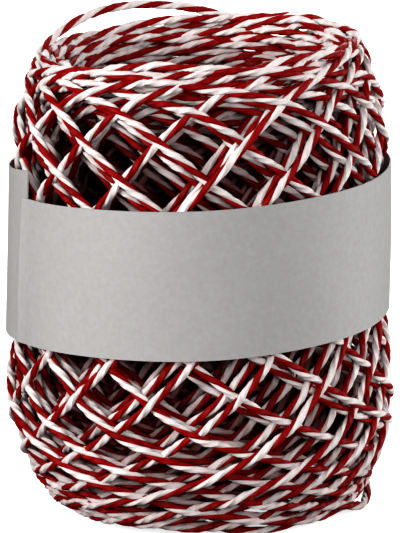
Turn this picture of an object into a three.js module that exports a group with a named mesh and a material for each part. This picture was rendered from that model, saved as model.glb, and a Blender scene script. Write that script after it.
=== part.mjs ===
import * as THREE from 'three';

// A roll of two-ply paper cord, cross-wound into a hollow barrel that stands on one end, with a strip of
// paper wrapped round its middle. Millimetres, +Z up, the origin at the centre of the base and -Y the front.

// Driving dimensions
const BODY_HEIGHT = 95.2; // base to rim, halfway round the rim
const RIM_RISE = 1.8; // how much further the rim reaches up on its +X side, and less far on its -X side
const RIM_RISE_FROM = 66; // height at which the body starts to lean into that uneven rim
const CORD = 2.1; // diameter of the cord
const STRANDS = 24; // cords that climb round the outer layer, and as many again that fall
const CROSSINGS = 33; // rows of crossings from rim to base
const CELL_DEPTH = 2.4; // how far the middle of an open cell lies below the cords round it
const CELL_DEPTH_TO_SPACING = 0.8; // near the ends, where the rows draw together, cells are this much of a row deep

const FOOT_INNER_RADIUS = 18; // the flat ring that it stands on, from here out to the first row of OUTLINE
const DISH_TURNS = 6; // turns of cord that show as ridges round the dish in the top

const BAND_CLEARANCE = 0.3;
const BAND_THICKNESS = 1;
const BAND_RADIUS = 38.3; // its inner face
const BAND_STEP = 5; // degrees from one section of the band to the next
const BAND_LAP = { under: 12, settled: 40 }; // degrees that the head lies on the tail, and that it takes to settle

// The body's outside, over the cords: radius at each height above the base
const OUTLINE = [
  { height: 0, radius: 23.2 },
  { height: 1.5, radius: 28.6 },
  { height: 4, radius: 32.3 },
  { height: 8, radius: 35.1 },
  { height: 13, radius: 37.4 },
  { height: 18, radius: 38.9 },
  { height: 24, radius: 39.4 },
  { height: 31, radius: 38.4 },
  { height: 39, radius: 37.8 },
  { height: 54, radius: 37.6 },
  { height: 69, radius: 37.4 },
  { height: 78, radius: 37 },
  { height: 84, radius: 35.7 },
  { height: 88.5, radius: 34 },
  { height: 92, radius: 32.3 },
  { height: 94.4, radius: 30.6 },
  { height: BODY_HEIGHT, radius: 28.8 },
];

// The hollow up the middle, which opens into a shallow dish at the base and a deep one in the top
const HOLLOW = [
  { height: 0, radius: FOOT_INNER_RADIUS },
  { height: 3, radius: 15.8 },
  { height: 8, radius: 13.6 },
  { height: 16, radius: 11.8 },
  { height: 26, radius: 11 },
  { height: 48, radius: 11 },
  { height: 70, radius: 11 },
  { height: 75, radius: 13.8 },
  { height: 82, radius: 19.2 },
  { height: 89, radius: 24 },
  { height: 93.5, radius: 26.6 },
];
const DISH_FROM = 72; // height at which the top dish's ridges start

// The band's edges, by the angle round from the front towards +X: its head is near -X, its tail under that
const BAND_EDGES = [
  { angle: -70, low: 36.9, high: 66.8 },
  { angle: -45, low: 38, high: 67.5 },
  { angle: 0, low: 39.2, high: 68.8 },
  { angle: 45, low: 40.4, high: 70.1 },
  { angle: 90, low: 40.9, high: 70.6 },
  { angle: 150, low: 40, high: 70.3 },
  { angle: 210, low: 37.6, high: 69.4 },
  { angle: 260, low: 36, high: 69.3 },
  { angle: 280, low: 36.2, high: 70.4 },
  { angle: 296, low: 37.4, high: 72.2 },
];

const LOOKS = {
  winding: { color: 0x9c1a22, roughness: 0.8, metalness: 0 },
  band: { color: 0xbab6b4, roughness: 0.7, metalness: 0 },
};

// The value of one column of a table at a place between its rows, on a smooth curve through them
function lookUp(rows, by, column, at) {
  const last = rows.length - 1;
  let row = 0;
  while (row < last - 1 && at > rows[row + 1][by]) row += 1;
  const slope = (left, right) =>
    (rows[right][column] - rows[left][column]) / (rows[right][by] - rows[left][by]);
  const tangent = (index) => slope(Math.max(index - 1, 0), Math.min(index + 1, last));
  const span = rows[row + 1][by] - rows[row][by];
  const t = (at - rows[row][by]) / span;
  const hermite = [2 * t ** 3 - 3 * t ** 2 + 1, t ** 3 - 2 * t ** 2 + t, 3 * t ** 2 - 2 * t ** 3, t ** 3 - t ** 2];
  return (
    hermite[0] * rows[row][column] +
    hermite[1] * span * tangent(row) +
    hermite[2] * rows[row + 1][column] +
    hermite[3] * span * tangent(row + 1)
  );
}

// A closed mesh from its points, three numbers each, and its triangles, three indices each
function closedMesh(name, points, triangles) {
  const geometry = new THREE.BufferGeometry();
  geometry.setAttribute('position', new THREE.Float32BufferAttribute(points, 3));
  geometry.setIndex(triangles);
  geometry.computeVertexNormals();
  const mesh = new THREE.Mesh(geometry, new THREE.MeshStandardMaterial(LOOKS[name]));
  mesh.name = name;
  return mesh;
}

// The same point of the body once its rim is uneven
function leanIntoRim(radius, angle, height) {
  const x = radius * Math.cos(angle);
  const ramp = Math.max(0, (height - RIM_RISE_FROM) / (BODY_HEIGHT - RIM_RISE_FROM));
  const rise = (RIM_RISE * ramp ** 2 * x) / OUTLINE[OUTLINE.length - 1].radius;
  return [x, radius * Math.sin(angle), height + rise];
}

// Rings down the outside from rim to base. The cords swing up and down as a sine does while they go round,
// so their crossings are evenly spaced in that sine's angle, with a cell between every two in a row.
function outsideRings() {
  const rings = [];
  const heightOf = (row) => (BODY_HEIGHT / 2) * (1 + Math.cos((Math.PI * row) / CROSSINGS));
  for (let row = 0; row <= CROSSINGS; row += 1) {
    const height = heightOf(row);
    const spacing = Math.min(heightOf(row - 1) - height, height - heightOf(row + 1));
    const depth = Math.min(CELL_DEPTH, Math.max(0, CELL_DEPTH_TO_SPACING * spacing));
    const onCord = lookUp(OUTLINE, 'height', 'radius', height);
    rings.push({ height, onCord, inCell: onCord - depth });
  }
  return rings;
}

// Rings up the hollow from base to rim, the last ones in and out over the turns that line the dish
function hollowRings() {
  const rings = HOLLOW.filter((row) => row.height < DISH_FROM).map((row) => ({ height: row.height, ridge: 0 }));
  const ridges = 2 * DISH_TURNS;
  const top = HOLLOW[HOLLOW.length - 1].height;
  for (let step = 0; step <= ridges; step += 1) {
    const height = DISH_FROM + ((top - DISH_FROM) * step) / ridges;
    rings.push({ height, ridge: step % 2 === 1 ? CORD / 3 : 0 });
  }
  return rings.map(({ height, ridge }) => {
    const radius = lookUp(HOLLOW, 'height', 'radius', height) - ridge;
    return { height, onCord: radius, inCell: radius };
  });
}

// The wound body: its rings run down the outside, across the flat foot and back up the hollow to the rim
function windingBody() {
  const columns = 2 * STRANDS;
  const rings = [...outsideRings(), ...hollowRings()];
  const points = [];
  const triangles = [];
  rings.forEach((ring, row) => {
    for (let column = 0; column < columns; column += 1) {
      const radius = (row + column) % 2 === 0 ? ring.onCord : ring.inCell;
      points.push(...leanIntoRim(radius, (2 * Math.PI * column) / columns, ring.height));
    }
  });
  const point = (row, column) => (row % rings.length) * columns + (column % columns);
  for (let row = 0; row < rings.length; row += 1) {
    for (let column = 0; column < columns; column += 1) {
      const here = point(row, column);
      const next = point(row + 1, column);
      const beside = point(row, column + 1);
      const across = point(row + 1, column + 1);
      // each square folds along the cord that crosses it
      if ((row + column) % 2 === 0) triangles.push(here, next, across, here, across, beside);
      else triangles.push(here, next, beside, next, across, beside);
    }
  }
  return closedMesh('winding', points, triangles);
}

// The inner radius of the band at an angle: its head rides over its tail, then settles onto the cords
function bandRadius(angle) {
  const head = BAND_EDGES[0].angle;
  const lifted = BAND_THICKNESS + BAND_CLEARANCE;
  const settling = (angle - head - BAND_LAP.under) / (BAND_LAP.settled - BAND_LAP.under);
  const t = Math.min(1, Math.max(0, settling));
  return BAND_RADIUS + lifted * (1 - t * t * (3 - 2 * t));
}

// The paper band: one strip from its head, round the front, +X and the back, to its tail under the head
function band() {
  const head = BAND_EDGES[0].angle;
  const tail = BAND_EDGES[BAND_EDGES.length - 1].angle;
  const steps = Math.ceil((tail - head) / BAND_STEP);
  const points = [];
  const triangles = [];
  for (let step = 0; step <= steps; step += 1) {
    const angle = head + ((tail - head) * step) / steps;
    const low = lookUp(BAND_EDGES, 'angle', 'low', angle);
    const high = lookUp(BAND_EDGES, 'angle', 'high', angle);
    const inner = bandRadius(angle);
    const outer = inner + BAND_THICKNESS;
    const side = Math.sin((angle * Math.PI) / 180);
    const ahead = -Math.cos((angle * Math.PI) / 180);
    for (const [radius, height] of [[outer, low], [outer, high], [inner, high], [inner, low]]) {
      points.push(radius * side, radius * ahead, height);
    }
  }
  for (let step = 0; step < steps; step += 1) {
    for (let corner = 0; corner < 4; corner += 1) {
      const here = 4 * step + corner;
      const beside = 4 * step + ((corner + 1) % 4);
      triangles.push(here, here + 4, beside, here + 4, beside + 4, beside);
    }
  }
  const end = 4 * steps;
  triangles.push(0, 1, 2, 0, 2, 3, end, end + 2, end + 1, end, end + 3, end + 2);
  return closedMesh('band', points, triangles);
}

const roll = new THREE.Group();
roll.add(windingBody(), band());

export default roll;
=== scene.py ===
"""A roll of two-ply paper cord, one ply red and one white, cross-wound into a hollow barrel that
stands on one end, with a strip of plain paper round its middle.

Lengths are in millimetres, and Blender gets metres. A place in the winding is c, angle and h: c runs
from -1 at the base to 1 at the rim, the angle goes round from +X towards +Y, and h is how much cord
lies between the place and the core.
"""

import math

import bmesh
import bpy
import numpy as np
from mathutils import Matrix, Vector


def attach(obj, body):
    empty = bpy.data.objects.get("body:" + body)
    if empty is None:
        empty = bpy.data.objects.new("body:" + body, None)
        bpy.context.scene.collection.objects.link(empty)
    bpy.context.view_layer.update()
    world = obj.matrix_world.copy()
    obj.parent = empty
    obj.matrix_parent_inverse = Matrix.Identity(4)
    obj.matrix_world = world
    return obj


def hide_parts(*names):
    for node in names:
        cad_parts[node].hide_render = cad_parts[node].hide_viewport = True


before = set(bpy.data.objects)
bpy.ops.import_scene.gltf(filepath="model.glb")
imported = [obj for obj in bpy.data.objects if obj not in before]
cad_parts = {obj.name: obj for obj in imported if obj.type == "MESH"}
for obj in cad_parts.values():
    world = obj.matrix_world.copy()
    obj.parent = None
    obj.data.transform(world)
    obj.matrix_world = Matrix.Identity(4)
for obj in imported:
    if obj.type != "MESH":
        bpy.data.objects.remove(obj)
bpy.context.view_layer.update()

MM = 0.001

# The cord: the corners of each ply's section, as angle and radius, for turns near the surface and inside
CORD = 2.1  # width over both plies where it lies on others
CORD_RADIUS = CORD / 2
WHITE_PLY = ((-90, 0.44), (-66, 0.8), (-37, 0.95), (0, 0.85), (35, 0.96), (66, 0.8))
RED_PLY = ((90, 0.44), (114, 0.72), (143, 0.86), (180, 0.8), (215, 0.87), (246, 0.72))
WHITE_PLY_INSIDE = ((-90, 0.48), (-52, 0.86), (0, 0.88), (52, 0.86))
RED_PLY_INSIDE = ((90, 0.48), (128, 0.8), (180, 0.82), (232, 0.8))
CREASES = (0, 2, 4)  # the corners of a ply that are sharp; corner 0 is in the groove
CREASES_INSIDE = (0,)
FOLD_LENGTH = 2.6  # of the flat places that the twisted paper is made of
FOLD_SIZE = 0.05  # how much they differ in radius, as a share
FOLD_KNOTS = 25000
FOLD_SEED = 11
LAY = 11  # length in which the two plies go once round each other
LAY_DRIFT = ((37, 0.5), (8.3, 0.11))  # length per radian of a wave, and how many lays the twist drifts
STEP_OUTSIDE, STEP_INSIDE = 1.0, 1.5  # between the sections of a mesh
PIECE_POINTS = 7600  # the most sections in one piece
STREAK_STRETCH = 12  # how many times longer than wide the paper's streaks are

# Painted shade: the cords' colour is made darker with their depth below the surface, for the light that
# is lost between the cords
SHADE_FROM = 2.6  # the depth where it starts
SHADE_TO = 8.5  # and where it is complete
DEEP_SHADE = (0.22, 0.1, 0.1)
HOLLOW_DEPTH = 26  # how deep the wall of the hollow counts at half height, and less nearer the rim
HOLLOW_DEPTH_AT_BASE = 80  # the same for the lower half, less nearer the base
HOLLOW_SHARE = 0.45  # share of a turn's own depth that is added to that
BASE_DEPTH = 6  # added at the base, so that the painted shade sets in sooner there
BASE_DEPTH_FROM = 0.45  # half heights below the middle, from where it builds up

# The wound body, by the outline that its outermost cords reach
BODY_HEIGHT = 95.2
OUTLINE_HEIGHTS = np.array(
    [0, 1.5, 4, 8, 13, 18, 24, 31, 39, 54, 69, 78, 84, 88.5, 92, 94.4, BODY_HEIGHT]
)
OUTLINE_RADII = np.array(
    [27.2, 30.4, 32.7, 35.3, 37.9, 39.3, 39.9, 39.1, 38.7, 38.5, 38.6, 38, 36.7, 34.9, 32.9, 31, 29.2]
)
CORE_RADIUS = 12.5
CORE_HEIGHTS = (26, 70)  # where the first strokes turn back
LATTICE_TILT = 0.042  # how far the crossings climb towards +X, in half heights of the body
RIM_LIFT = 1.35  # by which the rim stands higher all round,
RIM_RISE = 1.8  # higher still on its +X side and less high on its -X side,
RIM_RISE_BACK = -0.5  # the same towards +Y,
RIM_HUMP = 1.7  # and once more in a hump
RIM_HUMP_AT = math.radians(56)
RIM_RISE_FROM = 66  # the height from which all this builds up
BASE_BULGE = 3.2  # by which one side stands out at the base
BASE_BULGE_AT = math.radians(-54)
BASE_BULGE_TOP = 32
LOOSE_TURNS = (  # whether at the rim, angle, reach along the cord, rise, and push outwards
    (True, math.radians(122), 41, 3.5, 0.8),
    (True, math.radians(66), 26, -1, 0),
    (False, math.radians(-8), 14, -1, 2.8),
)
TURN_EASE = 11  # length to each side of a turn over which the cord rounds it
TURN_BLUR, PATH_BLUR = 2.6, 0.6  # how far points are averaged in a turn and elsewhere
SINK = 0.75  # how far the whole roll is let down until it stands on the floor

# The winding: strokes run from one end to the other and back while the body turns
SEED = 6
LAYERS = 12.2
STROKES_DOWN = 14  # before the pattern comes round to its first stroke again
TURNS = 23  # of the body in that time
LAYER_SHIFT = math.radians(3.3)  # how far the pattern then lies from where it started
DOWN_TO_UP = 1.22  # turns in a stroke down for each in a stroke up
LAST_TURN = math.radians(-135)  # where the last stroke down leaves the rim
LEVEL_AT_RIM = (11, 15)  # how much flatter a stroke gets before it turns back, and how suddenly
LEVEL_DOWN_AT_BASE = (4.2, 3.6)
LEVEL_UP_AT_BASE = (6, 4.8)
LOOSE_LAYERS = 5.5  # the outermost, laid less tight and more evenly, and drawn in full
LOOSENING = 3  # the cord gets loose over the first third of them
PRESSED_INSIDE = 0.38  # a cord's height where others cross it, as a share of its width
PRESSED_OUTSIDE = 0.66
PRESSED_AT_ENDS_INSIDE = 0.75  # of what it is half way up
PRESSED_AT_ENDS_OUTSIDE = 0.5
ANGLE_SPREAD_INSIDE = math.radians(3)  # of where a stroke ends
ANGLE_SPREAD_OUTSIDE = math.radians(1.1)
REACH_SPREAD_INSIDE = 0.2  # how far short of the end a stroke may turn back
REACH_SPREAD_OUTSIDE = 0.05
WANDER = 0.12  # of a stroke to the side
WANDER_LENGTH = 16
WANDER_EASE = 10  # length at each end of a stroke over which it stops
END_TUCKED = 0.1  # how far the last stroke gets, under the band

# How finely the winding is worked out
CELLS_ALONG, CELLS_ROUND = 460, 1500
SAMPLE = 0.25  # between a path's points
HOLD = 15  # how much of a stroke is laid only together with the next one
SWING_STEPS = 4001
STROKE_STEPS = 900
SLOPE_STEP = 0.004  # of c, over which the surface's slope is measured
FEELERS, FEELER_EDGE = 9, 0.96  # places across the cord where it feels what it lies on
STAMPS = 15  # places across the cord where it raises the surface
DRAW = 0.92  # how strongly a taut cord is drawn inwards where it bends
BLUR_REACH = 12  # samples on each side over which a laid cord is evened out
MOST_SUNK = 0.15  # how far that may sink it into what it lies on
CALIBRATIONS = 2
CREST_SHARE = 0.93  # quantile of the surface's heights that counts as its crests
CREST_SHARE_DROP = 0.22  # how much lower that is at the ends
CREST_EDGE = 5  # cells at each end that are left out of it
CREST_REACH, CREST_BLUR = 30, 12  # cells over which the crests' heights are averaged
DEPTH_SECTORS, DEPTH_BANDS = 36, 47  # round and along the body, each with a depth of its own
DEPTH_REACH = 12  # cells to each side of a band that count for it
MOST_DEPTH = 1.0  # share of the depth past which cords are pressed level
DEPTH_SOFTNESS = 0.02  # how gradually they are

# The band: a strip of paper, by the angle in degrees round from the front towards +X
BAND_ANGLES = np.array([-66.8, -45, 0, 45, 90, 150, 210, 260, 280, 298.2])
BAND_LOW = np.array([36.9, 38, 39.2, 40.4, 40.9, 40, 37.6, 36, 36.2, 37.4])
BAND_HIGH = np.array([66.8, 67.5, 68.8, 70.1, 70.6, 70.3, 69.4, 69.3, 70.4, 72.2])
BAND_RADIUS = 38.25
BAND_OFFSET = 0.2  # towards -X
BAND_THICKNESS = 0.25
BAND_LIFT = 0.35  # of its head over its tail
BAND_LAP = 12  # degrees from the head's end where the head starts to come down,
BAND_SETTLED = 40  # and where it lies flat
BAND_SKEW = 4.4  # degrees by which the head's cut end leans
BAND_CURL = 0.4  # of the cut end, outwards
BAND_CURL_SPAN = 5
BAND_FLARE = 0.5  # how much further out it stands at its lower edge on the -X side
BAND_WAVE = 0.12  # how uneven it lies
BAND_WAVE_ROUND, BAND_WAVE_UP = (7, 1), (5, 0.6)  # how often, and where the wave starts
BAND_ROWS = 17
BAND_CLEARANCE = 0.4  # between it and the cords that it draws in
BAND_GRIP = 5  # how far above and below its edges it still draws them in
BAND_SOFTNESS = 0.35  # how gradually, by distance from the axis

# The papers
WHITE_PAPER = ((0.60, 0.54, 0.528), (0.70, 0.638, 0.624))
RED_PAPER = ((0.18, 0.0004, 0.0008), (0.26, 0.0007, 0.0014))
BAND_PAPER = ((0.33, 0.32, 0.315), (0.37, 0.36, 0.355))
CORD_ROUGHNESS, BAND_ROUGHNESS = 0.55, 0.62
CORD_SPECULAR = 0.12
BUMP_DISTANCE = 0.0002

# The camera and the light
AIM_HEIGHT = 53.6 - SINK
CAMERA_DISTANCE = 770
CAMERA_ELEVATION = math.radians(13.6)
CAMERA_LENS = 258.6
CAMERA_SHIFT = -25 / 533
LIGHT_AIM = (0, 0, 0.05)
LIGHTS = (  # name, place and size in metres, and power
    ("key", (-0.8, -0.45, 0.4), (0.5, 0.6), 9.6),
    ("side", (0.95, 0.1, 0.22), (0.5, 0.6), 8.0),
    ("front", (0.3, -1.0, 0.42), (0.5, 0.5), 6.0),
    ("back", (0.2, 1.1, 0.5), (0.6, 0.6), 6.5),
    ("top", (0, 0, 0.9), (0.8, 0.8), 0.5),
)
SKY_LIGHT, SKY_SEEN = 0.0, 1.0  # how bright the sky is to the roll and to the camera
FLOOR_BOUNCE, FLOOR_SEEN = 0.12, 0.9
FLOOR_GLOW = 0.5  # to the camera only
FLOOR_ROUGHNESS = 0.9
FLOOR_HALF = 4000


def spline(xs, ys, x):
    """The value at x on a smooth curve through (xs, ys)."""
    last = len(xs) - 1
    i = np.clip(np.searchsorted(xs, x) - 1, 0, last - 1)
    lo, hi = np.maximum(np.arange(last + 1) - 1, 0), np.minimum(np.arange(last + 1) + 1, last)
    slope = (ys[hi] - ys[lo]) / (xs[hi] - xs[lo])
    span = xs[i + 1] - xs[i]
    t = (x - xs[i]) / span
    return (
        (2 * t**3 - 3 * t**2 + 1) * ys[i]
        + (t**3 - 2 * t**2 + t) * span * slope[i]
        + (3 * t**2 - 2 * t**3) * ys[i + 1]
        + (t**3 - t**2) * span * slope[i + 1]
    )


def smooth(t):
    return t * t * (3 - 2 * t)


def bell(count, width):
    """Weights that fall off over width steps, count of them on each side of the middle."""
    weights = np.exp(-0.5 * (np.arange(-count, count + 1) / width) ** 2)
    return weights / weights.sum()


class Shells:
    """Nested surfaces of revolution, from the core out to the body's outline."""

    def __init__(self):
        self.c = np.linspace(-1, 1, CELLS_ALONG)
        z = BODY_HEIGHT / 2 * (1 + self.c)
        r = spline(OUTLINE_HEIGHTS, OUTLINE_RADII, z)
        dz, dr = np.gradient(z), np.gradient(r)
        length = np.hypot(dz, dr)
        self.r1, self.z1 = r - CORD_RADIUS * dz / length, z + CORD_RADIUS * dr / length
        low, high = CORE_HEIGHTS
        self.r0 = np.full(CELLS_ALONG, CORE_RADIUS + CORD_RADIUS)
        self.z0 = (low + high) / 2 + (high - low) / 2 * self.c
        gap_r, gap_z = self.r1 - self.r0, self.z1 - self.z0
        self.true_depth = (gap_r * dz - gap_z * dr) / length  # square to the surface
        self.depth = self.true_depth.copy()

    def place(self, c, h):
        """The radius and height of a place."""
        t = h / np.interp(c, self.c, self.depth)
        r0, z0 = np.interp(c, self.c, self.r0), np.interp(c, self.c, self.z0)
        r1, z1 = np.interp(c, self.c, self.r1), np.interp(c, self.c, self.z1)
        return r0 + t * (r1 - r0), z0 + t * (z1 - z0)


def taut(s, f):
    """Indices of the points that a string pulled tight over all points (s, f) touches."""
    kept = [0]
    for i in range(1, len(s)):
        while len(kept) >= 2:
            a, b = kept[-2], kept[-1]
            if (f[b] - f[a]) * (s[i] - s[a]) > (f[i] - f[a]) * (s[b] - s[a]):
                break
            kept.pop()
        kept.append(i)
    return kept


def wander(rng, length, step, size, count):
    """Smooth noise along a path: count values a step apart, with a knot every length."""
    knots = max(4, int(count * step / length) + 3)
    values = rng.normal(0, size, knots)
    x = np.arange(count) * step / length
    i = np.clip(x.astype(int), 0, knots - 2)
    t = smooth(x - i)
    return values[i] * (1 - t) + values[np.minimum(i + 1, knots - 1)] * t


class Winder:
    """Lays the cord stroke by stroke on what is already wound, pulled tight over what stands highest."""

    def __init__(self, shells):
        self.shells = shells
        self.top = np.zeros((CELLS_ROUND, CELLS_ALONG))
        self.rng = np.random.default_rng(SEED)
        self.per_cycle = (TURNS * 2 * np.pi + LAYER_SHIFT) / STROKES_DOWN
        self.swing_up = self.swing(LEVEL_UP_AT_BASE, LEVEL_AT_RIM)
        self.swing_down = self.swing(LEVEL_AT_RIM, LEVEL_DOWN_AT_BASE)
        self.set_tension(0)

    def swing(self, at_start, at_end):
        """How a stroke gets from 1 at its start to -1 at its end, by the share of its turning done."""
        c = np.linspace(1, -1, SWING_STEPS)
        middle = (c[1:] + c[:-1]) / 2
        level = (
            1
            + at_start[0] * middle.clip(0) ** at_start[1]
            + at_end[0] * (-middle).clip(0) ** at_end[1]
        )
        turned = np.concatenate([[0], np.cumsum(level)])
        return turned / turned[-1], c

    def set_tension(self, outer):
        """How the cord lies, from the innermost turns (outer 0) to the outermost (outer 1)."""

        def blend(inside, outside):
            return inside + (outside - inside) * outer

        self.pressed = blend(PRESSED_INSIDE, PRESSED_OUTSIDE)
        self.pressed_at_ends = blend(PRESSED_AT_ENDS_INSIDE, PRESSED_AT_ENDS_OUTSIDE)
        self.reach_spread = blend(REACH_SPREAD_INSIDE, REACH_SPREAD_OUTSIDE)
        self.angle_spread = blend(ANGLE_SPREAD_INSIDE, ANGLE_SPREAD_OUTSIDE)

    def cells(self, c, angle):
        a = np.round(angle / (2 * np.pi) * CELLS_ROUND).astype(int) % CELLS_ROUND
        b = np.clip(np.round((c + 1) / 2 * (CELLS_ALONG - 1)).astype(int), 0, CELLS_ALONG - 1)
        return a, b

    def aside(self, c, angle, h):
        """How c and angle change for each millimetre to the side of the path."""
        low, high = np.clip(c - SLOPE_STEP, -1, 1), np.clip(c + SLOPE_STEP, -1, 1)
        (ra, za), (rb, zb) = self.shells.place(low, h), self.shells.place(high, h)
        per_c = np.hypot(rb - ra, zb - za) / (high - low)
        r = self.shells.place(c, h)[0]
        dc, da = np.gradient(c) * per_c, np.gradient(angle) * r
        length = np.hypot(dc, da) + 1e-12
        return -da / length / per_c, dc / length / r

    def lift(self, c, w):
        """How far a cord's surface stands over its middle, w half widths to the side."""
        ends = 1 - (1 - self.pressed_at_ends) * c**4
        return self.pressed * ends * CORD_RADIUS * math.sqrt(max(0, 1 - w * w))

    def lie(self, c, angle, laid=()):
        """The depth at which the cord's middle comes to lie on each point of its path."""
        under = self.top[self.cells(c, angle)]
        side_c, side_a = self.aside(c, angle, under)
        rest = np.full(len(c), -np.inf)
        for w in np.linspace(-FEELER_EDGE, FEELER_EDGE, FEELERS):
            off = w * CORD_RADIUS
            at = self.cells(c + off * side_c, angle + off * side_a)
            rest = np.maximum(rest, self.top[at] + self.lift(c, w))
        rest[: len(laid)] = laid
        s = np.arange(len(c)) * SAMPLE
        r = self.shells.place(c, rest)[0]
        bend = DRAW * r * np.gradient(angle, s) ** 2
        turn = np.concatenate([[0], np.cumsum((bend[1:] + bend[:-1]) / 2 * SAMPLE)])
        fall = np.concatenate([[0], np.cumsum((turn[1:] + turn[:-1]) / 2 * SAMPLE)])
        kept = taut(s, rest - fall)
        h = np.interp(s, s[kept], (rest - fall)[kept]) + fall
        even = np.convolve(np.pad(h, BLUR_REACH, mode="edge"), bell(BLUR_REACH, 1 / SAMPLE), "valid")
        return np.maximum(even, h - MOST_SUNK)

    def press(self, c, angle, h):
        """Raises the wound surface by this length of cord."""
        side_c, side_a = self.aside(c, angle, h)
        for w in np.linspace(-1, 1, STAMPS):
            off = w * CORD_RADIUS
            at = self.cells(c + off * side_c, angle + off * side_a)
            np.maximum.at(self.top, at, h + self.lift(c, w))

    def stroke(self, i, start, depth):
        """Points a sample apart on stroke i from its start (c, angle), and the turn at its end."""
        up = self.per_cycle / (1 + DOWN_TO_UP)
        down = i % 2 == 0
        reach = 1 - self.reach_spread * self.rng.random()
        end = -reach if down else reach
        end_angle = self.start + (i // 2 + 1) * self.per_cycle - (up if down else 0)
        end_angle += self.rng.normal(0, self.angle_spread)
        u = np.linspace(0, 1, STROKE_STEPS)
        swing = np.interp(u, *(self.swing_down if down else self.swing_up))
        c = (start[0] + end) / 2 + (start[0] - end) / 2 * swing
        angle = start[1] + (end_angle - start[1]) * u
        r, z = self.shells.place(c, np.full(len(c), depth))
        ds = np.hypot(np.hypot(np.diff(r), np.diff(z)), r[1:] * np.diff(angle))
        s = np.concatenate([[0], np.cumsum(ds)])
        along = np.arange(0, s[-1], SAMPLE)
        drift = wander(self.rng, WANDER_LENGTH, SAMPLE, WANDER, len(along))
        drift *= np.minimum(1, np.minimum(along, along[-1] - along) / WANDER_EASE)
        angle_at = np.interp(along, s, angle) + drift / np.interp(along, s, r)
        return np.interp(along, s, c), angle_at, (end, end_angle)

    def wind(self):
        """Winds the whole roll. Returns each stroke's c, angle and depth."""
        count = int(LAYERS * STROKES_DOWN) * 2
        hold = int(HOLD / SAMPLE)
        strokes = []
        self.start = LAST_TURN - (count // 2 - 1) * self.per_cycle
        c, angle, turn = self.stroke(0, (1.0, self.start), 0.0)
        for i in range(count):
            left = (count - i) / (LOOSE_LAYERS * STROKES_DOWN * 2)
            self.set_tension(np.clip(LOOSENING - LOOSENING * left, 0, 1))
            depth = strokes[-1][2].mean() if strokes else 0.0
            next_c, next_angle, next_turn = self.stroke(i + 1, turn, depth)
            parts = [(c, angle), (next_c[:hold], next_angle[:hold])]
            laid = ()
            if strokes:
                last_c, last_angle, last_h = strokes[-1]
                parts.insert(0, (last_c[-hold:], last_angle[-hold:]))
                laid = last_h[-hold:].copy()
            h = self.lie(*(np.concatenate(values) for values in zip(*parts)), laid)
            if strokes:
                last_h[-hold:] += (h[:hold] - laid) * np.linspace(0, 1, hold)
                self.press(last_c[-hold:], last_angle[-hold:], last_h[-hold:])
                h = h[hold:]
            h = h[: len(c)]
            strokes.append((c, angle, h))
            self.press(c[:-hold], angle[:-hold], h[:-hold])
            c, angle, turn = next_c, next_angle, next_turn
        self.press(*(values[-hold:] for values in strokes[-1]))
        c, angle, h = strokes[-1]
        tucked = c < END_TUCKED
        strokes[-1] = c[tucked], angle[tucked], h[tucked]
        return strokes


def crests(ordered, share):
    """Heights of the surface's crests, where each column of ordered is sorted, lowest first."""
    rank = (share * (CELLS_ROUND - 1)).astype(int)
    return ordered[rank, np.arange(CELLS_ALONG)] - PRESSED_OUTSIDE * CORD_RADIUS


def calibrated_shells():
    """Shells with the depth that the winder builds up, so that the crests reach the body's outline."""
    shells = Shells()
    share = CREST_SHARE - CREST_SHARE_DROP * shells.c**6
    inner = np.clip(np.arange(CELLS_ALONG), CREST_EDGE, CELLS_ALONG - 1 - CREST_EDGE)
    for _ in range(CALIBRATIONS):
        winder = Winder(shells)
        winder.wind()
        crest = crests(np.sort(winder.top, axis=0), share)[inner]
        padded = np.pad(crest, CREST_REACH, mode="edge")
        shells.depth = np.convolve(padded, bell(CREST_REACH, CREST_BLUR), "valid")
    return shells


def local_depth(top, shells):
    """How deep the cord lies round each place, crest to core, as a function of c and angle."""
    width = CELLS_ROUND // DEPTH_SECTORS
    centres = np.linspace(0, CELLS_ALONG - 1, DEPTH_BANDS).astype(int)
    found = np.zeros((DEPTH_SECTORS, DEPTH_BANDS))
    for i in range(DEPTH_SECTORS):
        rows = np.arange((i - 1) * width, (i + 2) * width) % CELLS_ROUND
        for k, middle in enumerate(centres):
            low = max(middle - DEPTH_REACH, CREST_EDGE - 1)
            high = min(middle + DEPTH_REACH, CELLS_ALONG - CREST_EDGE)
            share = CREST_SHARE - CREST_SHARE_DROP * shells.c[middle] ** 6
            found[i, k] = np.quantile(top[rows, low:high], share)
    found -= PRESSED_OUTSIDE * CORD_RADIUS

    def depth(c, angle):
        x = (angle / (2 * np.pi) * DEPTH_SECTORS - 0.5) % DEPTH_SECTORS
        y = np.clip((c + 1) / 2 * (DEPTH_BANDS - 1), 0, DEPTH_BANDS - 1.001)
        i, k = x.astype(int) % DEPTH_SECTORS, y.astype(int)
        u, v = x - x.astype(int), y - k
        j = (i + 1) % DEPTH_SECTORS
        here = found[i, k] * (1 - v) + found[i, k + 1] * v
        beside = found[j, k] * (1 - v) + found[j, k + 1] * v
        return here * (1 - u) + beside * u

    return depth


def painted_depth_shade(c, share, true_depth):
    """How much painted shade darkens the cord's colour, from 0 at the surface to 1 deep inside, for
    cords that lie at this share of the depth.
    """
    buried = (1 - share) * true_depth
    buried = buried + BASE_DEPTH * np.clip(-c - BASE_DEPTH_FROM, 0, 1) / (1 - BASE_DEPTH_FROM)
    hollow = np.where(c > 0, HOLLOW_DEPTH, HOLLOW_DEPTH_AT_BASE)
    buried = np.minimum(buried, (1 - np.abs(c)) * hollow + HOLLOW_SHARE * buried)
    return np.clip((buried - SHADE_FROM) / (SHADE_TO - SHADE_FROM), 0, 1)


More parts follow.
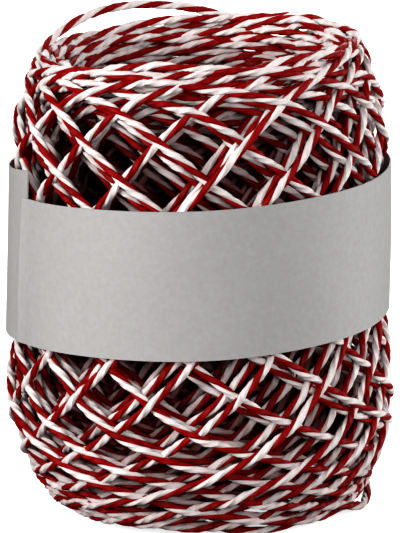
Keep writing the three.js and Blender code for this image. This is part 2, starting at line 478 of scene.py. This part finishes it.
def cord_line(shells, strokes, top):
    """The cord's middle as one line of points, with the way out of the body and the painted shade there.
    """
    c, angle, h = (np.concatenate([stroke[k] for stroke in strokes]) for k in range(3))
    share = h / local_depth(top, shells)(c, angle)
    shade = painted_depth_shade(c, share, np.interp(c, shells.c, shells.true_depth))
    share = share - DEPTH_SOFTNESS * np.logaddexp(0, (share - MOST_DEPTH) / DEPTH_SOFTNESS)
    c = c + LATTICE_TILT * np.cos(angle) * (1 - c**4)
    depth = share * np.interp(c, shells.c, shells.depth)
    r, z = shells.place(c, depth)
    r_in, z_in = shells.place(c, depth - 1)
    r = under_band(r, angle, z)
    z = np.maximum(z, CORD_RADIUS)
    out = np.stack([(r - r_in) * np.cos(angle), (r - r_in) * np.sin(angle), z - z_in], 1)
    bulge = np.clip(np.cos(angle - BASE_BULGE_AT), 0, 1) * np.clip(1 - z / BASE_BULGE_TOP, 0, 1) ** 2
    r = r + BASE_BULGE * bulge
    x, y = r * np.cos(angle), r * np.sin(angle)
    hump = RIM_HUMP * np.clip(np.cos(angle - RIM_HUMP_AT), 0, 1) ** 4
    rise = (RIM_RISE * x + RIM_RISE_BACK * y) / OUTLINE_RADII[-1] + RIM_LIFT + hump
    z = z + rise * np.clip((z - RIM_RISE_FROM) / (BODY_HEIGHT - RIM_RISE_FROM), 0, None) ** 2
    line = np.stack([x, y, z], 1)
    ends = np.cumsum([len(stroke[0]) for stroke in strokes])[:-1]
    for turn in LOOSE_TURNS:
        free_turn(line, ends, strokes, *turn)
    return ease_turns(line, ends) - (0, 0, SINK), out, shade


def under_band(r, angle, z):
    """Radii once the band has drawn in whatever would stand out under it."""
    front = np.degrees(angle) % 360 + 90
    front = np.where(front > BAND_ANGLES[-1], front - 360, front)
    front = np.clip(front, BAND_ANGLES[0], BAND_ANGLES[-1])
    low, high = spline(BAND_ANGLES, BAND_LOW, front), spline(BAND_ANGLES, BAND_HIGH, front)
    grip = smooth(np.clip(1 - np.maximum(low - z, z - high) / BAND_GRIP, 0, 1))
    limit = BAND_RADIUS - BAND_CLEARANCE - CORD_RADIUS
    drawn = limit - BAND_SOFTNESS * np.logaddexp(0, (limit - r) / BAND_SOFTNESS)
    return r + (drawn - r) * grip


def free_turn(line, ends, strokes, at_rim, place, reach, rise, push):
    """Lets one of the last turns stand off the body: the one at this end, nearest to this angle."""
    count = len(strokes)
    turns = [i for i in range(count - 2 * STROKES_DOWN, count) if (i % 2 == 0) == at_rim]
    away = [abs((strokes[i][1][0] - place + np.pi) % (2 * np.pi) - np.pi) for i in turns]
    start = ends[turns[int(np.argmin(away))] - 1]
    span = int(reach / SAMPLE)
    window = np.cos(np.linspace(-np.pi / 2, np.pi / 2, 2 * span)) ** 2
    part = line[start - span : start + span]
    outward = part[:, :2] / np.hypot(part[:, 0], part[:, 1])[:, None]
    part[:, :2] += outward * (push * window)[:, None]
    part[:, 2] = np.maximum(part[:, 2] + rise * window, CORD_RADIUS)


def blurred(line, spread):
    """The line with its points averaged over this length."""
    reach = int(3 * spread / SAMPLE)
    padded = np.pad(line, ((reach, reach), (0, 0)), mode="edge")
    weights = bell(reach, spread / SAMPLE)
    return np.stack([np.convolve(padded[:, k], weights, "valid") for k in range(3)], 1)


def ease_turns(line, ends):
    """Rounds the cord where one stroke turns into the next."""
    near = np.full(len(line), np.inf)
    steps = np.arange(len(line))
    at = np.searchsorted(ends, steps)
    for shift in (-1, 0):
        k = np.clip(at + shift, 0, len(ends) - 1)
        near = np.minimum(near, np.abs(steps - ends[k]) * SAMPLE)
    ease = smooth(np.clip(1 - near / TURN_EASE, 0, 1)[:, None])
    line = blurred(line, PATH_BLUR)
    return line + (blurred(line, TURN_BLUR) - line) * ease


def along_line(line):
    return np.concatenate([[0], np.cumsum(np.linalg.norm(np.diff(line, axis=0), axis=1))])


def unit(v):
    return v / np.maximum(np.linalg.norm(v, axis=-1, keepdims=True), 1e-9)


def resample(line, out, shade, along, at):
    """The line, the way out and the darkness at these lengths along it."""

    def pick(values):
        return np.stack([np.interp(at, along, values[:, k]) for k in range(3)], 1)

    return pick(line), unit(pick(out)), np.interp(at, along, shade)


def mesh_object(name, points, faces, material_index, materials, rounded=True):
    """A mesh piece from points in millimetres and four-cornered faces."""
    mesh = bpy.data.meshes.new(name)
    mesh.vertices.add(len(points))
    mesh.vertices.foreach_set("co", (points * MM).astype(np.float32).ravel())
    mesh.loops.add(faces.size)
    mesh.loops.foreach_set("vertex_index", faces.astype(np.int32).ravel())
    mesh.polygons.add(len(faces))
    mesh.polygons.foreach_set("loop_start", np.arange(0, faces.size, 4, dtype=np.int32))
    mesh.polygons.foreach_set("material_index", material_index.astype(np.int32))
    mesh.update(calc_edges=True)
    mesh.validate()
    mesh.polygons.foreach_set("use_smooth", np.full(len(faces), rounded))
    for material in materials:
        mesh.materials.append(material)
    piece = bpy.data.objects.new(name, mesh)
    bpy.context.scene.collection.objects.link(piece)
    return piece


def edge_ends(mesh):
    """The two points of each edge."""
    ends = np.zeros(len(mesh.edges) * 2, np.int32)
    mesh.edges.foreach_get("vertices", ends)
    return ends.reshape(-1, 2)


def keep(mesh, name, kind, domain, values):
    """Stores values on a mesh under this name."""
    slot = "vector" if kind == "FLOAT_VECTOR" else "value"
    mesh.attributes.new(name, kind, domain).data.foreach_set(slot, values)


def folds(along, sides):
    """How much each corner of the section stands out or in along the cord, as a factor."""
    rng = np.random.default_rng(FOLD_SEED)
    knots = 1 + rng.normal(0, FOLD_SIZE, (FOLD_KNOTS, len(WHITE_PLY + RED_PLY)))[:, :sides]
    x = along / FOLD_LENGTH
    i = x.astype(int)
    t = (x - i)[:, None]
    return knots[i] * (1 - t) + knots[i + 1] * t


def cord_piece(name, line, out, shade, along, section, creases, materials):
    """A stretch of the cord: two plies that turn round each other, with a groove between them."""
    n, sides = len(line), len(section)
    tangent = unit(np.gradient(line, axis=0))
    normal = unit(out - tangent * np.sum(out * tangent, 1, keepdims=True))
    side = np.cross(tangent, normal)
    around = np.radians([angle for angle, _ in section])
    radius = np.array([radius for _, radius in section])[None, :] * folds(along, sides)
    drift = sum(share * np.sin(along / length) for length, share in LAY_DRIFT)
    turn = around[None, :] - 2 * np.pi * (along / LAY + drift)[:, None]
    ring = line[:, None, :] + radius[:, :, None] * (
        np.cos(turn)[..., None] * normal[:, None, :] + np.sin(turn)[..., None] * side[:, None, :]
    )
    corner = np.arange(sides)
    i = np.arange(n - 1)[:, None] * sides
    a, b = i + corner, i + (corner + 1) % sides
    faces = np.stack([a, b, b + sides, a + sides], -1).reshape(-1, 4)
    ply = np.broadcast_to((corner >= sides // 2).astype(int), (n - 1, sides)).reshape(-1)
    piece = mesh_object(name, ring.reshape(-1, 3), faces, ply, materials)
    mesh = piece.data
    close_ends(mesh, n, sides)
    creases = [*creases, *(sides // 2 + k for k in creases)]
    ends = edge_ends(mesh) % sides
    sharp = (ends[:, 0] == ends[:, 1]) & np.isin(ends[:, 0], creases)
    keep(mesh, "sharp_edge", "BOOLEAN", "EDGE", sharp)
    stretched = np.broadcast_to(along[:, None] / STREAK_STRETCH, (n, sides))
    flat = np.stack([radius * np.cos(around), radius * np.sin(around), stretched], -1)
    keep(mesh, "paper_place", "FLOAT_VECTOR", "POINT", flat.astype(np.float32).ravel())
    # Painted shade: how much the colour is darkened here, by the turn's depth in the winding
    keep(mesh, "shade", "FLOAT", "POINT", np.repeat(shade, sides).astype(np.float32))
    return piece


def close_ends(mesh, n, sides):
    """Caps a tube's two ends."""
    bm = bmesh.new()
    bm.from_mesh(mesh)
    bm.verts.ensure_lookup_table()
    bm.faces.new([bm.verts[k] for k in reversed(range(sides))])
    bm.faces.new([bm.verts[(n - 1) * sides + k] for k in range(sides)])
    bm.to_mesh(mesh)
    bm.free()


def cord_pieces(materials):
    """The whole cord from its inner end to its outer one, cut into pieces that touch end to end."""
    shells = calibrated_shells()
    winder = Winder(shells)
    strokes = winder.wind()
    line, out, shade = cord_line(shells, strokes, winder.top)
    along = along_line(line)
    outer_strokes = int(LOOSE_LAYERS * STROKES_DOWN * 2)
    outer_from = along[sum(len(stroke[0]) for stroke in strokes[:-outer_strokes])]
    inside = WHITE_PLY_INSIDE + RED_PLY_INSIDE, CREASES_INSIDE
    outside = WHITE_PLY + RED_PLY, CREASES
    pieces = []
    for label, start, end, step, section in (
        ("inner", 0, outer_from, STEP_INSIDE, inside),
        ("outer", outer_from, along[-1], STEP_OUTSIDE, outside),
    ):
        at = np.arange(start, end, step)
        for k, chunk in enumerate(np.array_split(at, math.ceil(len(at) / PIECE_POINTS))):
            following = at[at > chunk[-1]][:1]
            chunk = np.append(chunk, following)
            values = resample(line, out, shade, along, chunk)
            pieces.append(cord_piece(f"cord_{label}_{k + 1}", *values, chunk, *section, materials))
    return pieces


def band_piece(material):
    """The band: a thin strip with its head lapped over its tail, its cut end leaning and curled."""
    angles = np.arange(BAND_ANGLES[0], BAND_ANGLES[-1] + 0.01, 1)
    low, high = spline(BAND_ANGLES, BAND_LOW, angles), spline(BAND_ANGLES, BAND_HIGH, angles)
    v = np.linspace(0, 1, BAND_ROWS)
    z = low[:, None] + (high - low)[:, None] * v - SINK
    from_head = angles - angles[0]
    lift = smooth(np.clip((BAND_SETTLED - from_head) / (BAND_SETTLED - BAND_LAP), 0, 1))
    (often, start), (often_up, start_up) = BAND_WAVE_ROUND, BAND_WAVE_UP
    wave = np.sin(np.radians(angles) * often + start)[:, None] * np.cos(v * often_up + start_up)
    side = np.sin(np.radians(angles))
    flare = np.where(angles > 180, -side, 0)[:, None] * (1 - 2 * v)
    curl = np.clip(1 - from_head / BAND_CURL_SPAN, 0, 1) ** 2
    radius = BAND_RADIUS + (BAND_LIFT * lift + BAND_CURL * curl - BAND_OFFSET * side)[:, None]
    radius = radius + BAND_FLARE * flare + BAND_WAVE * wave
    skew = BAND_SKEW * v * np.clip(1 - from_head / BAND_SETTLED, 0, 1)[:, None]
    turn = np.radians(angles[:, None] + skew)

    def surface(r):
        return np.stack([r * np.sin(turn), -r * np.cos(turn), z], -1).reshape(-1, 3)

    def quad(*corners):
        return np.stack(corners, -1).reshape(-1, 4)

    points = np.concatenate([surface(radius), surface(radius + BAND_THICKNESS)])
    inner = np.arange(turn.size).reshape(turn.shape)
    outer = inner + turn.size
    faces = np.concatenate(
        [
            quad(outer[:-1, :-1], outer[1:, :-1], outer[1:, 1:], outer[:-1, 1:]),
            quad(inner[:-1, :-1], inner[:-1, 1:], inner[1:, 1:], inner[1:, :-1]),
            quad(inner[:-1, 0], inner[1:, 0], outer[1:, 0], outer[:-1, 0]),
            quad(inner[:-1, -1], outer[:-1, -1], outer[1:, -1], inner[1:, -1]),
            quad(inner[0, :-1], outer[0, :-1], outer[0, 1:], inner[0, 1:]),
            quad(inner[-1, :-1], inner[-1, 1:], outer[-1, 1:], outer[-1, :-1]),
        ]
    )
    piece = mesh_object("paper_band", points, faces, np.zeros(len(faces)), [material])
    on_edge = np.zeros(turn.shape, bool)
    on_edge[[0, -1]] = on_edge[:, [0, -1]] = True
    on_edge = np.tile(on_edge.ravel(), 2)
    keep(piece.data, "sharp_edge", "BOOLEAN", "EDGE", on_edge[edge_ends(piece.data)].all(1))
    return piece


def principled(name, roughness):
    material = bpy.data.materials.new(name)
    material.use_nodes = True
    shader = material.node_tree.nodes["Principled BSDF"]
    shader.inputs["Roughness"].default_value = roughness
    return material, shader


def add(tree, kind, inputs=None, **settings):
    """A new node, with its settings and with each input linked or set."""
    node = tree.nodes.new(kind)
    for key, value in settings.items():
        setattr(node, key, value)
    for key, value in (inputs or {}).items():
        if isinstance(value, bpy.types.NodeSocket):
            tree.links.new(value, node.inputs[key])
        else:
            node.inputs[key].default_value = value
    return node


def ramp(tree, factor, stops):
    """A colour between two stops, each a position and a colour."""
    node = add(tree, "ShaderNodeValToRGB", {"Fac": factor})
    for element, (position, color) in zip(node.color_ramp.elements, stops):
        element.position, element.color = position, (*color, 1)
    return node.outputs["Color"]


def bump(tree, shader, height, strength):
    inputs = {"Height": height, "Strength": strength, "Distance": BUMP_DISTANCE}
    node = add(tree, "ShaderNodeBump", inputs)
    tree.links.new(node.outputs["Normal"], shader.inputs["Normal"])


def cord_paper(name, colors):
    """Twisted paper: streaks and creases that follow the ply, faint blotches, a soft dry surface, and
    painted shade that darkens the turns lying deep in the winding.
    """
    material, shader = principled(name, CORD_ROUGHNESS)
    shader.inputs["Specular IOR Level"].default_value = CORD_SPECULAR
    tree = material.node_tree
    place = add(tree, "ShaderNodeAttribute", attribute_name="paper_place").outputs["Vector"]
    space = add(tree, "ShaderNodeTexCoord").outputs["Object"]
    streaks = add(
        tree, "ShaderNodeTexNoise", {"Vector": place, "Scale": 3.2, "Detail": 3, "Roughness": 0.6}
    ).outputs["Fac"]
    broad = add(tree, "ShaderNodeTexNoise", {"Vector": space, "Scale": 160, "Detail": 2}).outputs["Fac"]
    both = add(tree, "ShaderNodeMath", {0: streaks, 1: broad}, operation="ADD").outputs[0]
    mean = add(tree, "ShaderNodeMath", {0: both, 1: 0.5}, operation="MULTIPLY").outputs[0]
    color = ramp(tree, mean, zip((0.38, 0.6), colors))
    # Painted shade: the colour is multiplied towards DEEP_SHADE where the cord lies deep in the winding,
    # for the light lost between the cords
    shade = add(tree, "ShaderNodeAttribute", attribute_name="shade").outputs["Fac"]
    light_left = ramp(tree, shade, [(0, (1, 1, 1)), (1, DEEP_SHADE)])
    shaded = add(tree, "ShaderNodeVectorMath", {0: color, 1: light_left}, operation="MULTIPLY")
    tree.links.new(shaded.outputs[0], shader.inputs["Base Color"])
    bump(tree, shader, streaks, 0.5)
    return material


def band_paper():
    """Smooth grey paper with a faint fibre."""
    material, shader = principled("band_paper", BAND_ROUGHNESS)
    tree = material.node_tree
    place = add(tree, "ShaderNodeTexCoord").outputs["Object"]
    fibre = add(
        tree, "ShaderNodeTexNoise", {"Vector": place, "Scale": 900, "Detail": 4, "Roughness": 0.65}
    ).outputs["Fac"]
    tree.links.new(ramp(tree, fibre, zip((0.3, 0.7), BAND_PAPER)), shader.inputs["Base Color"])
    bump(tree, shader, fibre, 0.08)
    return material


def place_camera():
    data = bpy.data.cameras.new("camera")
    camera = bpy.data.objects.new("camera", data)
    bpy.context.scene.collection.objects.link(camera)
    back = CAMERA_DISTANCE * math.cos(CAMERA_ELEVATION)
    up = AIM_HEIGHT + CAMERA_DISTANCE * math.sin(CAMERA_ELEVATION)
    camera.location = (0, -back * MM, up * MM)
    camera.rotation_euler = (math.pi / 2 - CAMERA_ELEVATION, 0, 0)
    data.lens = CAMERA_LENS
    data.shift_y = CAMERA_SHIFT
    data.clip_start = 0.01
    bpy.context.scene.camera = camera


def area_light(name, place, size, power):
    data = bpy.data.lights.new(name, "AREA")
    data.shape = "RECTANGLE"
    data.size, data.size_y = size
    data.energy = power
    light = bpy.data.objects.new(name, data)
    light.location = place
    light.rotation_euler = (Vector(LIGHT_AIM) - Vector(place)).to_track_quat("-Z", "Y").to_euler()
    bpy.context.scene.collection.objects.link(light)


def light_scene():
    """Soft lamps, and a sky that is white to the camera but lights nothing."""
    world = bpy.data.worlds.new("studio")
    bpy.context.scene.world = world
    world.use_nodes = True
    tree = world.node_tree
    sky = tree.nodes["Background"]
    sky.inputs["Color"].default_value = (1, 1, 1, 1)
    seen = add(tree, "ShaderNodeLightPath").outputs["Is Camera Ray"]
    strength = add(tree, "ShaderNodeMapRange", {"Value": seen, "To Min": SKY_LIGHT, "To Max": SKY_SEEN})
    tree.links.new(strength.outputs["Result"], sky.inputs["Strength"])
    for light in LIGHTS:
        area_light(*light)
    bpy.context.scene.view_settings.view_transform = "Standard"
    bpy.context.scene.view_settings.look = "High Contrast"


def floor_piece():
    """A plain floor, white to the camera, that throws little light back on the roll."""
    material, shader = principled("floor", FLOOR_ROUGHNESS)
    tree = material.node_tree
    shader.inputs["Emission Color"].default_value = (1, 1, 1, 1)
    seen = add(tree, "ShaderNodeLightPath").outputs["Is Camera Ray"]
    glow = add(tree, "ShaderNodeMath", {0: seen, 1: FLOOR_GLOW}, operation="MULTIPLY")
    tree.links.new(glow.outputs[0], shader.inputs["Emission Strength"])
    shade = add(
        tree, "ShaderNodeMapRange", {"Value": seen, "To Min": FLOOR_BOUNCE, "To Max": FLOOR_SEEN}
    )
    tree.links.new(shade.outputs[0], shader.inputs["Base Color"])
    corners = [(x, y, 0) for x, y in ((-1, -1), (1, -1), (1, 1), (-1, 1))]
    points = np.array(corners, float) * FLOOR_HALF
    floor = mesh_object("floor", points, np.array([[0, 1, 2, 3]]), np.zeros(1), [material], False)


place_camera()
light_scene()
floor_piece()
cords = cord_pieces([cord_paper("paper_white", WHITE_PAPER), cord_paper("paper_red", RED_PAPER)])
for piece in cords:
    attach(piece, "root")
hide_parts("winding")
band = band_piece(band_paper())
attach(band, "root")
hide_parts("band")
